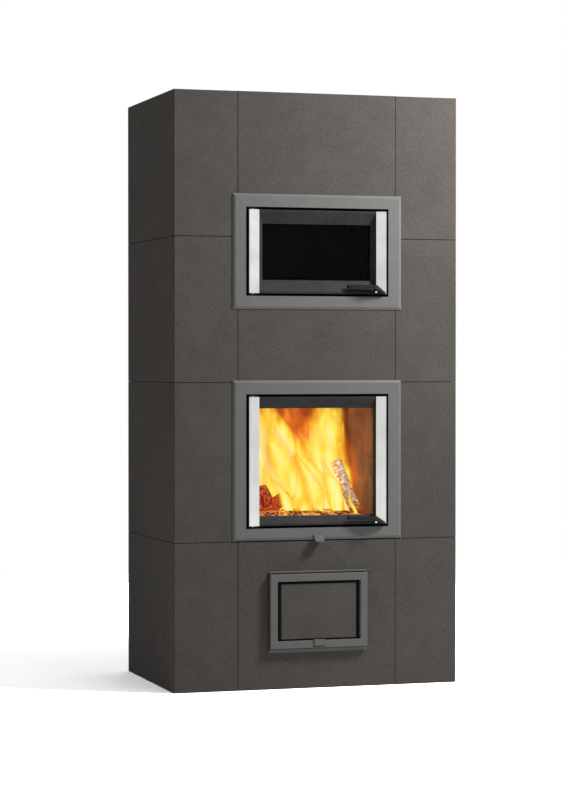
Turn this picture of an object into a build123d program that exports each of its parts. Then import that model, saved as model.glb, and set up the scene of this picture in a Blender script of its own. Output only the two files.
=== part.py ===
from build123d import *
import os

os.makedirs("parts", exist_ok=True)

# A tall soapstone stove: an ash hatch at the foot, a glazed firebox above it and a glazed
# bake oven on top. Millimetres, +Z up, front towards -Y, origin at the middle of the underside.

# Stone body
stove_width = 950.0
stove_depth = 598.0
stove_height = 1900.0
slab_thickness = 60.0
row_1_height = 473.0
row_2_height = 505.5
row_3_height = 461.0
bay_margin = 26.0
stone_arris = 1.5
stone_joint = 0.4
corner_bevel = 3.0
frame_fit = 2.0

# Plates and frames round the two glazed doors
surround_overlap = 18.0
surround_thickness = 6.0
surround_bevel_width = 8.0
surround_bevel_depth = 4.0
door_opening_width = 478.0
firebox_opening_height = 427.0
firebox_sill_above_row = 41.0
firebox_surround_above_row = 3.0
firebox_surround_over_row = 6.5
oven_opening_height = 282.0
oven_sill_above_row = 274.5
oven_surround_bar = 42.0
rim_set_back = 28.0
rim_width = 26.0
stud_radius = 4.0
stud_length = 25.0

# Door leaves
leaf_gap = 8.5
leaf_set_back = 22.0
leaf_front = 6.0
bevel_edge = 6.0
bevel_depth = 14.0
firebox_top_rail = 36.5
firebox_bottom_rail = 30.5
firebox_stile = 37.5
oven_top_rail = 43.5
oven_bottom_rail = 42.5
oven_stile = 49.0
glass_lip = 4.0
glass_thickness = 4.0
glass_gasket = 2.0
glass_overlap = 7.0
glass_fit = 0.5
retainer_thickness = 3.0
retainer_width = 6.0
rope_width = 6.0
rope_groove_depth = 4.0
rope_inset = 15.5
rope_gap = 0.3
strip_width = 34.0
strip_thickness = 6.0
strip_inner_thickness = 2.0
strip_chamfer = 1.5

# Door hinges
hinge_inset = 14.0
hinge_set_out = -1.0
hinge_pin_radius = 4.0
hinge_pin_depth = 14.0
hinge_plate_width = 28.0
hinge_plate_thickness = 3.0
hinge_plate_front = 8.0
running_clearance = 0.05
seat_clearance = 0.02

# Door handles and latches
handle_length = 131.0
handle_height = 12.0
handle_reach = 27.0
handle_end = 6.0
handle_gap = 0.6
handle_plate = 5.0
handle_plate_inset = 4.4
handle_apex_inset = 4.5
handle_drop = 1.0
shaft_inset = 38.0
shaft_rise = 7.5
shaft_radius = 3.5
shaft_head_radius = 3.9
shaft_head_height = 3.0
shaft_head_round = 2.4
cam_gap = 0.8
cam_thickness = 4.0
cam_radius = 6.5
cam_nose = 10.5
cam_nose_width = 8.0
keeper_gap = 0.4
keeper_width = 12.0
keeper_depth = 4.0
oven_handle_rise = 16.5
firebox_handle_rise = 14.0

# Firebox and bake oven
liner_clearance = 3.0
firebox_depth = 293.0
firebox_height = 454.0
liner_thickness = 30.0
core_wall = 55.0
hearth_thickness = 46.0
hearth_gap = 27.0
deck_thickness = 60.0
baffle_thickness = 50.0
throat_depth = 60.0
throat_set_back = 44.0
oven_floor_thickness = 60.0
oven_roof_thickness = 60.0
oven_flue_depth = 50.0
oven_flue_edge = 39.0
oven_headroom = 17.0
grate_width = 120.0
grate_length = 200.0
grate_flange = 10.0
grate_top = 5.0
grate_skirt = 16.0
grate_skirt_wall = 8.0
grate_slots = 9
grate_slot_width = 9.0
grate_fit = 2.0
ash_drop_width = 200.0
ash_drop_length = 220.0
ash_drop_front = 66.0

# Smoke channels and flue
channel_port_height = 200.0
channel_port_leg = 20.0
partition_thickness = 40.0
pier_size = 60.0
flue_radius = 75.0
flue_wall = 2.5
flue_flange = 18.0
flue_flange_thickness = 3.0
flue_from_back = 155.0
shaft_wall_thickness = 30.0
shaft_margin = 10.0
shaft_width = 180.0

# Air slide
air_rod_width = 16.0
air_rod_thickness = 5.0
air_rod_rise = 12.0
air_slot_fit = 1.5
air_plate_width = 160.0
air_plate_length = 200.0
air_plate_thickness = 4.0
air_plate_set_back = 99.0
air_plate_slot = 14.0
air_guide_width = 10.0
slide_gap = 0.3
knob_width = 29.0
knob_rise = 19.0
knob_height = 22.0
knob_reach = 24.0
knob_lip = 3.0
knob_gap = 0.5
knob_wall = 4.0

# Ash hatch
hatch_width = 326.0
hatch_bottom = 131.0
hatch_height = 237.5
hatch_bar = 24.0
hatch_lip = 6.0
hatch_lip_margin_bottom = 14.0
hatch_lip_margin_top = 8.0
hatch_gap = 1.0
hatch_thickness = 14.0
hatch_edge = 1.5
hatch_lip_bar = 13.0
ash_opening_bottom = 140.0
ash_opening_height = 220.0
tray_gap_side = 4.0
tray_gap_bottom = 12.0
tray_gap_top = 8.0
tray_wall = 3.0
insert_side_gap = 37.5
insert_height = 176.5
insert_rise = 5.0
insert_thickness = 12.0
hatch_pin_radius = 2.5
hatch_pin_length = 30.0
hatch_pin_drop = 4.5
hatch_pin_set_out = 5.0
ear_width = 10.0
ear_inset = 27.0
ear_radius = 4.0
ear_fit = 1.0
ear_drop = 4.0
ear_skin = 4.0
hatch_back_chamfer = 3.0
latch_width = 34.0
latch_height = 20.5
latch_foot = 7.0
latch_foot_gap = 3.0
latch_side_gap = 2.5
latch_front = 4.0
latch_depth = 9.0
latch_hollow = 6.0
latch_pin_radius = 2.0
latch_pin_rise = 4.5
latch_pin_seat = 5.0
latch_tongue = 4.0
latch_tongue_reach = 12.0

# Ash chamber and ash pan
chamber_margin = 20.0
pan_side_gap = 25.0
pan_length = 330.0
pan_height = 90.0
pan_wall = 2.0
pan_set_back = 30.0
pan_grip_width = 90.0
pan_grip_reach = 18.0
pan_grip_height = 14.0

# Places worked out from the sizes above
half_width = stove_width / 2
half_depth = stove_depth / 2
inner_x = half_width - slab_thickness
inner_y = half_depth - slab_thickness
row_1_top = row_1_height
row_2_top = row_1_top + row_2_height
row_3_top = row_2_top + row_3_height
row_levels = [0.0, row_1_top, row_2_top, row_3_top, stove_height]
bay_half = door_opening_width / 2 + bay_margin

firebox_sill = row_1_top + firebox_sill_above_row
oven_sill = row_2_top + oven_sill_above_row
oven_gap_bottom = oven_sill - oven_surround_bar + surround_overlap
oven_gap_top = oven_sill + oven_opening_height + oven_surround_bar - surround_overlap

leaf_width = door_opening_width - 2 * leaf_gap
leaf_half = leaf_width / 2
hinge_x = -leaf_half + hinge_inset
shaft_x = leaf_half - shaft_inset
strip_front = leaf_front + strip_thickness
handle_back = strip_front + handle_gap

liner_half = leaf_half - rim_width + liner_clearance
core_inner = liner_half + liner_thickness
core_half = core_inner + core_wall
liner_back_y = -inner_y + firebox_depth
core_back_y = liner_back_y + liner_thickness
core_end_y = core_back_y + core_wall
hearth_bottom = row_1_top + hearth_gap
hearth_top = hearth_bottom + hearth_thickness
firebox_roof = hearth_top + firebox_height
deck_bottom = row_1_top - deck_thickness
oven_floor_top = oven_sill + leaf_gap + rim_width
oven_floor_bottom = oven_floor_top - oven_floor_thickness
oven_roof = oven_sill + oven_opening_height - leaf_gap - rim_width + oven_headroom
oven_roof_top = oven_roof + oven_roof_thickness
top_slab_bottom = stove_height - slab_thickness
flue_y = half_depth - flue_from_back

ash_opening_width = hatch_width - 2 * hatch_lip_bar
hatch_top = hatch_bottom + hatch_height
hatch_back = hatch_lip + hatch_gap
hatch_front = hatch_back + hatch_thickness
hatch_half = hatch_width / 2
pin_z = hatch_top - hatch_pin_drop
pin_out = hatch_back + hatch_pin_set_out
chamber_half = ash_opening_width / 2 + chamber_margin
air_rod_z = row_1_top + air_rod_rise
knob_top = row_1_top + knob_rise
knob_bottom = knob_top - knob_height


def face(proud):
    """Plane parallel to the stove's front, the given distance in front of the stone."""
    return Plane.XZ.offset(half_depth + proud)


def save(piece, name):
    piece.part.label = name
    export_step(piece.part, f"parts/{name}.step")


def add_block(x0, x1, y0, y1, z0, z1, mode=Mode.ADD):
    """A square-edged block between the given corners."""
    with BuildSketch(Plane.XY.offset(z0)) as base:
        with Locations(((x0 + x1) / 2, (y0 + y1) / 2)):
            Rectangle(abs(x1 - x0), abs(y1 - y0))
    extrude(base.sketch, amount=z1 - z0, mode=mode)


def add_slab(outline, z0, z1, outward):
    """One casing stone: a plan outline raised between two heights, its outer arrises eased."""
    with BuildPart() as stone:
        with BuildSketch(Plane.XY.offset(z0)):
            with BuildLine():
                Polyline(*outline, close=True)
            make_face()
        extrude(amount=z1 - z0 - stone_joint)
        outer = stone.faces().filter_by(lambda f: f.normal_at().dot(outward) > 0.999)
        ends = outer.edges().filter_by(lambda e: abs(e.tangent_at(0).Z) < 0.01)
        chamfer(ends, length=stone_arris)
    return stone.part


def add_ring(width, height, bar, middle_z, proud, thickness):
    """A flat rectangular ring on a plane parallel to the front."""
    with BuildSketch(face(proud)) as outline:
        with Locations((0, middle_z)):
            Rectangle(width, height)
            Rectangle(width - 2 * bar, height - 2 * bar, mode=Mode.SUBTRACT)
    extrude(outline.sketch, amount=thickness)


# Casing stones. The corner stones and the side and back slabs meet in mitres, so that no joint
# shows beside the corners.
def corner_stones(side):
    """The four stones of one front corner column; side is -1 on the left and 1 on the right."""
    outline = [
        (side * (half_width - corner_bevel), -half_depth),
        (side * bay_half, -half_depth),
        (side * bay_half, -inner_y),
        (side * inner_x, -inner_y),
        (side * (half_width - corner_bevel / 2), -half_depth + corner_bevel / 2),
    ]
    with BuildPart() as column:
        for low, high in zip(row_levels, row_levels[1:]):
            add(add_slab(outline, low, high, Vector(0, -1, 0)))
    return column


def side_stones(side):
    """The four side slabs of one side."""
    outline = [
        (side * half_width, -half_depth + corner_bevel),
        (side * (half_width - corner_bevel / 2), -half_depth + corner_bevel / 2),
        (side * inner_x, -inner_y),
        (side * inner_x, inner_y),
        (side * (half_width - corner_bevel / 2), half_depth - corner_bevel / 2),
        (side * half_width, half_depth - corner_bevel),
    ]
    with BuildPart() as column:
        for low, high in zip(row_levels, row_levels[1:]):
            add(add_slab(outline, low, high, Vector(side, 0, 0)))
    return column


save(corner_stones(-1), "front_stones_left")
save(corner_stones(1), "front_stones_right")
save(side_stones(-1), "side_stones_left")
save(side_stones(1), "side_stones_right")

back_outline = [
    (-half_width + corner_bevel, half_depth),
    (-half_width + corner_bevel / 2, half_depth - corner_bevel / 2),
    (-inner_x, inner_y),
    (inner_x, inner_y),
    (half_width - corner_bevel / 2, half_depth - corner_bevel / 2),
    (half_width - corner_bevel, half_depth),
]
with BuildPart() as back_stones:
    for low, high in zip(row_levels, row_levels[1:]):
        add(add_slab(back_outline, low, high, Vector(0, 1, 0)))
save(back_stones, "back_stones")


def bay_stone(low, high):
    """A front stone of the middle bay, with all four front arrises eased."""
    with BuildPart() as stone:
        add_block(-bay_half, bay_half, -half_depth, -inner_y, low, high)
        chamfer(stone.faces().sort_by(Axis.Y)[0].edges(), length=stone_arris)
    return stone


save(bay_stone(oven_gap_top, stove_height), "front_stone_top")
save(bay_stone(row_2_top, oven_gap_bottom), "front_stone_middle")

with BuildPart() as front_stone_base:
    add(bay_stone(0, row_1_top).part)
    with BuildSketch(face(0)):
        with Locations((0, ash_opening_bottom + ash_opening_height / 2)):
            Rectangle(ash_opening_width, ash_opening_height)
    extrude(amount=-slab_thickness, mode=Mode.SUBTRACT)
save(front_stone_base, "front_stone_base")

with BuildPart() as top_slab:
    add_block(-inner_x, inner_x, -inner_y, inner_y, top_slab_bottom, stove_height)
    with Locations(Plane((0, flue_y, stove_height))):
        CounterBoreHole(
            radius=flue_radius + flue_wall + seat_clearance,
            counter_bore_radius=flue_radius + flue_flange + seat_clearance,
            counter_bore_depth=flue_flange_thickness,
        )
save(top_slab, "top_slab")

with BuildPart() as flue_collar:
    with BuildSketch(Plane.XY.offset(top_slab_bottom)):
        with Locations((0, flue_y)):
            Circle(flue_radius + flue_wall)
            Circle(flue_radius, mode=Mode.SUBTRACT)
    extrude(amount=slab_thickness)
    with BuildSketch(Plane.XY.offset(stove_height - flue_flange_thickness)):
        with Locations((0, flue_y)):
            Circle(flue_radius + flue_flange)
            Circle(flue_radius, mode=Mode.SUBTRACT)
    extrude(amount=flue_flange_thickness)
save(flue_collar, "flue_collar")

# Foot of the stove: foundation, ash chamber and the deck that carries the core
with BuildPart() as foundation_slab:
    add_block(-inner_x, inner_x, -inner_y, inner_y, 0, slab_thickness)
save(foundation_slab, "foundation_slab")

with BuildPart() as ash_chamber_floor:
    add_block(-chamber_half, chamber_half, -inner_y, core_end_y - slab_thickness,
              slab_thickness, ash_opening_bottom)
save(ash_chamber_floor, "ash_chamber_floor")

with BuildPart() as ash_chamber_walls:
    for side in (-1, 1):
        add_block(side * chamber_half, side * (chamber_half + slab_thickness),
                  -inner_y, core_end_y, slab_thickness, deck_bottom)
    add_block(-chamber_half + stone_joint, chamber_half - stone_joint,
              core_end_y - slab_thickness, core_end_y, slab_thickness, deck_bottom)
save(ash_chamber_walls, "ash_chamber_walls")

with BuildPart() as core_deck:
    for side in (-1, 1):
        add_block(side * ash_drop_width / 2, side * core_half, -inner_y, core_end_y,
                  deck_bottom, row_1_top)
    drop_half = ash_drop_width / 2 - stone_joint
    drop_start = -inner_y + ash_drop_front
    drop_end = drop_start + ash_drop_length
    add_block(-drop_half, drop_half, -inner_y, drop_start, deck_bottom, row_1_top)
    add_block(-drop_half, drop_half, drop_end, core_end_y, deck_bottom, row_1_top)
save(core_deck, "core_deck")

# Inner core: hearth, firebox lining, smoke baffles and bake oven
grate_y = drop_start + ash_drop_length / 2
hole_half_x = grate_width / 2
hole_half_y = grate_length / 2
plate_half = air_plate_width / 2
with BuildPart() as hearth_bed:
    for side in (-1, 1):
        add_block(side * (plate_half + slide_gap), side * core_inner, -inner_y, liner_back_y,
                  row_1_top, hearth_bottom)
        add_block(side * (plate_half - air_guide_width), side * (plate_half + slide_gap),
                  -inner_y, liner_back_y, row_1_top, air_rod_z - slide_gap)
save(hearth_bed, "hearth_bed")

with BuildPart() as hearth_stones:
    for side in (-1, 1):
        add_block(side * hole_half_x, side * core_inner, -inner_y, core_back_y,
                  hearth_bottom, hearth_top)
    between = hole_half_x - stone_joint
    add_block(-between, between, -inner_y, grate_y - hole_half_y, hearth_bottom, hearth_top)
    add_block(-between, between, grate_y + hole_half_y, core_back_y, hearth_bottom, hearth_top)
save(hearth_stones, "hearth_stones")

with BuildPart() as grate:
    skirt_x = hole_half_x - grate_fit
    skirt_y = hole_half_y - grate_fit
    flange_x = hole_half_x + grate_flange
    flange_y = hole_half_y + grate_flange
    add_block(-flange_x, flange_x, grate_y - flange_y, grate_y + flange_y,
              hearth_top, hearth_top + grate_top)
    add_block(-skirt_x, skirt_x, grate_y - skirt_y, grate_y + skirt_y,
              hearth_top - grate_skirt, hearth_top)
    inside_x = skirt_x - grate_skirt_wall
    inside_y = skirt_y - grate_skirt_wall
    add_block(-inside_x, inside_x, grate_y - inside_y, grate_y + inside_y,
              hearth_top - grate_skirt, hearth_top - grate_top, mode=Mode.SUBTRACT)
    with BuildSketch(Plane.XY.offset(hearth_top - grate_top)):
        with Locations((0, grate_y)):
            with GridLocations(1, 2 * inside_y / grate_slots, 1, grate_slots):
                SlotOverall(2 * inside_x, grate_slot_width)
    extrude(amount=2 * grate_top, mode=Mode.SUBTRACT)
save(grate, "grate")

with BuildPart() as firebox_side_liners:
    for side in (-1, 1):
        add_block(side * liner_half, side * core_inner, -inner_y, core_back_y,
                  hearth_top, firebox_roof)
save(firebox_side_liners, "firebox_side_liners")

with BuildPart() as firebox_back_liner:
    add_block(-liner_half, liner_half, liner_back_y, core_back_y, hearth_top, firebox_roof)
save(firebox_back_liner, "firebox_back_liner")

with BuildPart() as core_walls:
    for side in (-1, 1):
        add_block(side * core_inner, side * core_half, -inner_y, core_end_y,
                  row_1_top, oven_floor_bottom)
    back_half = core_inner - stone_joint
    add_block(-back_half, back_half, core_back_y, core_end_y, row_1_top, oven_floor_bottom)
save(core_walls, "core_walls")

throat_end = core_back_y - throat_set_back
with BuildPart() as smoke_baffle:
    add_block(-core_inner, core_inner, -inner_y, throat_end - throat_depth,
              firebox_roof, firebox_roof + baffle_thickness)
    add_block(-core_inner, core_inner, throat_end, core_back_y,
              firebox_roof, firebox_roof + baffle_thickness)
save(smoke_baffle, "smoke_baffle")

oven_slot_end = core_back_y - (core_wall - oven_flue_edge)
with BuildPart() as oven_floor:
    add_block(-core_half, core_half, -inner_y, oven_slot_end - oven_flue_depth,
              oven_floor_bottom, oven_floor_top)
    add_block(-core_half, core_half, oven_slot_end, core_end_y,
              oven_floor_bottom, oven_floor_top)
save(oven_floor, "oven_floor")

with BuildPart() as oven_walls:
    for side in (-1, 1):
        add_block(side * core_inner, side * core_half, -inner_y, core_end_y,
                  oven_floor_top, oven_roof)
    add_block(-back_half, back_half, core_back_y, core_end_y, oven_floor_top, oven_roof)
save(oven_walls, "oven_walls")

with BuildPart() as oven_ceiling:
    add_block(-core_half, core_half, -inner_y, -inner_y + oven_flue_edge,
              oven_roof, oven_roof_top)
    add_block(-core_half, core_half, -inner_y + oven_flue_edge + oven_flue_depth, core_end_y,
              oven_roof, oven_roof_top)
save(oven_ceiling, "oven_ceiling")

# Smoke turns down beside the core, passes the ports at the foot and rises behind it
with BuildPart() as channel_partitions:
    for side in (-1, 1):
        add_block(side * core_half, side * inner_x, core_end_y,
                  core_end_y + partition_thickness, slab_thickness, oven_roof_top)
        add_block(side * (core_half + channel_port_leg), side * (inner_x - channel_port_leg),
                  core_end_y, core_end_y + partition_thickness, slab_thickness,
                  slab_thickness + channel_port_height, mode=Mode.SUBTRACT)
save(channel_partitions, "channel_partitions")

with BuildPart() as top_piers:
    for side in (-1, 1):
        for pier_y in (-inner_y, core_end_y - pier_size):
            add_block(side * (core_half - pier_size), side * core_half, pier_y,
                      pier_y + pier_size, oven_roof_top, top_slab_bottom)
save(top_piers, "top_piers")

shaft_front = flue_y - flue_radius - flue_wall - shaft_margin - shaft_wall_thickness
with BuildPart() as flue_shaft_walls:
    for side in (-1, 1):
        add_block(side * shaft_width / 2, side * (shaft_width / 2 + shaft_wall_thickness),
                  shaft_front, inner_y, oven_roof_top, top_slab_bottom)
    front_half = shaft_width / 2 - stone_joint
    add_block(-front_half, front_half, shaft_front, shaft_front + shaft_wall_thickness,
              oven_roof_top, top_slab_bottom)
save(flue_shaft_walls, "flue_shaft_walls")


# Glazed doors. Both are built alike: a surround plate on the stone, a frame in the wall behind
# it, and a leaf hung on two pins at its left edge with a lifting handle at its lower right.
def glazed_door(name, sill, height, stile, top_rail, bottom_rail, handle_rise, frame_low,
                frame_high, surround_low, surround_high):
    leaf_low = sill + leaf_gap
    leaf_height = height - 2 * leaf_gap
    leaf_high = leaf_low + leaf_height
    middle = sill + height / 2
    window_width = leaf_width - 2 * stile
    window_height = leaf_height - top_rail - bottom_rail
    window_z = leaf_low + bottom_rail + window_height / 2
    surround_width = 2 * (bay_half + surround_overlap)
    frame_width = 2 * (bay_half - frame_fit)
    stud_x = (door_opening_width + frame_width) / 4
    shaft_z = leaf_low + shaft_rise
    carries_slide = frame_low < row_2_top and air_rod_z < sill

    with BuildPart() as surround:
        with BuildSketch(face(0)):
            with Locations((0, (surround_low + surround_high) / 2)):
                Rectangle(surround_width, surround_high - surround_low)
        extrude(amount=surround_thickness)
        front = surround.faces().sort_by(Axis.Y)[0]
        chamfer(front.edges(), length=surround_bevel_width, length2=surround_bevel_depth,
                reference=front)
        with BuildSketch(face(0)):
            with Locations((0, middle)):
                Rectangle(door_opening_width, height)
        extrude(amount=surround_thickness, mode=Mode.SUBTRACT)
        if carries_slide:
            with BuildSketch(face(0)):
                with Locations((0, air_rod_z + air_rod_thickness / 2)):
                    Rectangle(air_rod_width + 2 * air_slot_fit,
                              air_rod_thickness + 2 * air_slot_fit)
            extrude(amount=surround_thickness, mode=Mode.SUBTRACT)
    save(surround, f"{name}_surround")

    with BuildPart() as frame:
        with BuildSketch(face(-slab_thickness)):
            with Locations((0, (frame_low + frame_high) / 2)):
                Rectangle(frame_width, frame_high - frame_low)
            with Locations((0, middle)):
                Rectangle(leaf_width - 2 * rim_width, leaf_height - 2 * rim_width,
                          mode=Mode.SUBTRACT)
        extrude(amount=slab_thickness)
        with BuildSketch(face(-rim_set_back)):
            with Locations((0, middle)):
                Rectangle(door_opening_width, height)
        extrude(amount=rim_set_back, mode=Mode.SUBTRACT)
        with BuildSketch(face(-stud_length)):
            with Locations((0, middle)):
                with GridLocations(2 * stud_x, height, 2, 2):
                    Circle(stud_radius + seat_clearance)
        extrude(amount=stud_length, mode=Mode.SUBTRACT)
        add_block(shaft_x - keeper_width / 2, shaft_x + keeper_width / 2,
                  -half_depth + leaf_set_back - keeper_depth,
                  -half_depth + leaf_set_back + cam_gap / 2,
                  sill, shaft_z - cam_nose - keeper_gap)
        if carries_slide:
            with BuildSketch(face(-slab_thickness)):
                with Locations((0, air_rod_z + air_rod_thickness / 2)):
                    Rectangle(air_rod_width + 2 * air_slot_fit,
                              air_rod_thickness + 2 * air_slot_fit)
            extrude(amount=slab_thickness, mode=Mode.SUBTRACT)
    save(frame, f"{name}_frame")

    with BuildPart() as studs:
        with BuildSketch(face(-stud_length)):
            with Locations((0, middle)):
                with GridLocations(2 * stud_x, height, 2, 2):
                    Circle(stud_radius)
        extrude(amount=stud_length)

    plate_low = leaf_high + (leaf_gap - hinge_plate_thickness) / 2
    plate_start = -half_depth + rim_set_back
    plate_end = -half_depth - hinge_set_out - hinge_plate_front
    pin_y = -half_depth - hinge_set_out
    mirror_plane = Plane.XY.offset(middle)
    with BuildPart() as hinge_plates:
        add_block(hinge_x - hinge_plate_width / 2, hinge_x + hinge_plate_width / 2,
                  plate_end, plate_start, plate_low, plate_low + hinge_plate_thickness)
        with Locations((hinge_x, pin_y, plate_low + hinge_plate_thickness)):
            Hole(radius=hinge_pin_radius + seat_clearance)
        mirror(about=mirror_plane)

    pin_low = leaf_high - hinge_pin_depth
    with BuildPart() as hinge_pins:
        with BuildSketch(Plane.XY.offset(pin_low)):
            with Locations((hinge_x, pin_y)):
                Circle(hinge_pin_radius)
        extrude(amount=plate_low + hinge_plate_thickness - pin_low)
        mirror(about=mirror_plane)

    rope_width_outer = leaf_width - 2 * rope_inset
    rope_height_outer = leaf_height - 2 * rope_inset
    rabbet_width = window_width + 2 * glass_overlap
    rabbet_height = window_height + 2 * glass_overlap
    lip_front = leaf_front - bevel_depth
    lip_back = lip_front - glass_lip
    with BuildPart() as leaf:
        with BuildSketch(face(-leaf_set_back)):
            with Locations((0, middle)):
                Rectangle(leaf_width, leaf_height)
            with Locations((0, window_z)):
                Rectangle(window_width, window_height, mode=Mode.SUBTRACT)
        extrude(amount=leaf_set_back + leaf_front)
        with BuildSketch(face(lip_front)):
            with Locations((0, window_z)):
                Rectangle(window_width, window_height)
        with BuildSketch(face(leaf_front)):
            with Locations((0, middle)):
                Rectangle(leaf_width - 2 * strip_width, leaf_height - 2 * bevel_edge)
        loft(mode=Mode.SUBTRACT)
        with BuildSketch(face(-leaf_set_back)):
            with Locations((0, window_z)):
                Rectangle(rabbet_width, rabbet_height)
        extrude(amount=leaf_set_back + lip_back, mode=Mode.SUBTRACT)
        with BuildSketch(face(-leaf_set_back)):
            with Locations((0, middle)):
                Rectangle(rope_width_outer, rope_height_outer)
                Rectangle(rope_width_outer - 2 * rope_width,
                          rope_height_outer - 2 * rope_width, mode=Mode.SUBTRACT)
        extrude(amount=rope_groove_depth, mode=Mode.SUBTRACT)
        with BuildSketch(Plane.XY.offset(pin_low)):
            with Locations((hinge_x, pin_y)):
                Circle(hinge_pin_radius + running_clearance)
        extrude(amount=hinge_pin_depth, mode=Mode.SUBTRACT)
        with BuildSketch(Plane.XY.offset(leaf_low)):
            with Locations((hinge_x, pin_y)):
                Circle(hinge_pin_radius + running_clearance)
        extrude(amount=hinge_pin_depth, mode=Mode.SUBTRACT)
        with BuildSketch(face(-leaf_set_back)):
            with Locations((shaft_x, shaft_z)):
                Circle(shaft_radius + running_clearance)
        extrude(amount=leaf_set_back + leaf_front, mode=Mode.SUBTRACT)
    save(leaf, f"{name}_leaf")

    with BuildPart() as rope:
        rope_back = rope_gap - rim_set_back
        add_ring(rope_width_outer, rope_height_outer, rope_width, middle,
                 rope_back, -rope_back + rope_groove_depth - leaf_set_back)
    save(rope, f"{name}_rope")

    glass_front = lip_back - glass_gasket
    glass_back = glass_front - glass_thickness
    with BuildPart() as gasket:
        add_ring(rabbet_width - 2 * glass_fit, rabbet_height - 2 * glass_fit,
                 glass_overlap - 2 * glass_fit, window_z, glass_front, glass_gasket)
    save(gasket, f"{name}_glass_gasket")

    with BuildPart() as glass:
        with BuildSketch(face(glass_back)):
            with Locations((0, window_z)):
                Rectangle(rabbet_width - 2 * glass_fit, rabbet_height - 2 * glass_fit)
        extrude(amount=glass_thickness)
    save(glass, f"{name}_glass")

    with BuildPart() as retainer:
        add_ring(rabbet_width - 2 * glass_fit, rabbet_height - 2 * glass_fit,
                 retainer_width, window_z, glass_back - retainer_thickness,
                 retainer_thickness)
    save(retainer, f"{name}_glass_retainer")

    strip_back_y = -half_depth - leaf_front
    with BuildPart() as strips:
        with BuildSketch(Plane.XY.offset(leaf_low)):
            for side in (-1, 1):
                with BuildLine():
                    Polyline(
                        (side * leaf_half, strip_back_y),
                        (side * leaf_half, strip_back_y - strip_thickness + strip_chamfer),
                        (side * (leaf_half - strip_chamfer), strip_back_y - strip_thickness),
                        (side * (leaf_half - strip_width), strip_back_y - strip_inner_thickness),
                        (side * (leaf_half - strip_width), strip_back_y),
                        close=True,
                    )
                make_face()
        extrude(amount=leaf_height)
    save(strips, f"{name}_strips")

    lever_low = leaf_low + handle_rise
    lever_high = lever_low + handle_height
    plate_edge = leaf_half - handle_gap - handle_plate_inset
    apex_x = shaft_x - handle_apex_inset
    lever_end_x = plate_edge - handle_length
    lever_back = -half_depth - handle_back
    apex_y = lever_back - handle_reach
    foot_low = leaf_low - handle_drop
    with BuildPart() as handle:
        with BuildSketch(Plane.XY.offset(lever_low)):
            with BuildLine():
                Polyline(
                    (lever_end_x, lever_back),
                    (lever_end_x + handle_end, lever_back - handle_end),
                    (apex_x - handle_end, apex_y),
                    (apex_x, apex_y),
                    (apex_x, lever_back),
                    close=True,
                )
            make_face()
        extrude(amount=handle_height)
        with BuildSketch(Plane.YZ.offset(apex_x)):
            with Locations(((apex_y + lever_back) / 2, lever_low + handle_height / 2)):
                Rectangle(handle_reach, handle_height)
        with BuildSketch(Plane.YZ.offset(plate_edge)):
            with Locations((lever_back - handle_plate / 2, foot_low + handle_end / 2)):
                Rectangle(handle_plate, handle_end)
        loft()
        with BuildSketch(face(handle_back)):
            with BuildLine():
                Polyline(
                    (shaft_x - cam_gap - 2 * shaft_radius, foot_low),
                    (plate_edge, foot_low),
                    (plate_edge, foot_low + handle_end),
                    (apex_x, lever_high),
                    (shaft_x - cam_gap - 2 * shaft_radius, lever_high),
                    close=True,
                )
            make_face()
        extrude(amount=handle_plate)
        with BuildSketch(face(handle_back)):
            with Locations((shaft_x, shaft_z)):
                Circle(shaft_radius + seat_clearance)
        extrude(amount=handle_plate, mode=Mode.SUBTRACT)
    save(handle, f"{name}_handle")

    cam_front = -leaf_set_back - cam_gap
    with BuildPart() as latch:
        with BuildSketch(face(cam_front)):
            with Locations((shaft_x, shaft_z)):
                Circle(shaft_radius)
        extrude(amount=handle_back + handle_plate - cam_front)
        with BuildSketch(face(handle_back + handle_plate)):
            with Locations((shaft_x, shaft_z)):
                Circle(shaft_head_radius)
        extrude(amount=shaft_head_height)
        fillet(latch.faces().sort_by(Axis.Y)[0].edges(), radius=shaft_head_round)
        with BuildSketch(face(cam_front - cam_thickness)):
            with Locations((shaft_x, shaft_z)):
                Circle(cam_radius)
            with Locations((shaft_x, shaft_z - cam_nose / 2)):
                Rectangle(cam_nose_width, cam_nose)
        extrude(amount=cam_thickness)
    save(latch, f"{name}_latch")
    return studs.part, hinge_plates.part, hinge_pins.part


firebox_fixings = glazed_door(
    "firebox", firebox_sill, firebox_opening_height, firebox_stile, firebox_top_rail,
    firebox_bottom_rail, firebox_handle_rise, row_1_top + frame_fit, row_2_top - frame_fit,
    row_1_top + firebox_surround_above_row, row_2_top + firebox_surround_over_row,
)
oven_fixings = glazed_door(
    "oven", oven_sill, oven_opening_height, oven_stile, oven_top_rail, oven_bottom_rail,
    oven_handle_rise, oven_gap_bottom + frame_fit, oven_gap_top - frame_fit,
    oven_sill - oven_surround_bar, oven_sill + oven_opening_height + oven_surround_bar,
)
fixing_names = ("surround_studs", "door_hinge_plates", "door_hinge_pins")
for fixing_name, of_firebox, of_oven in zip(fixing_names, firebox_fixings, oven_fixings):
    with BuildPart() as fixings:
        add(of_firebox)
        add(of_oven)
    save(fixings, fixing_name)

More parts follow.
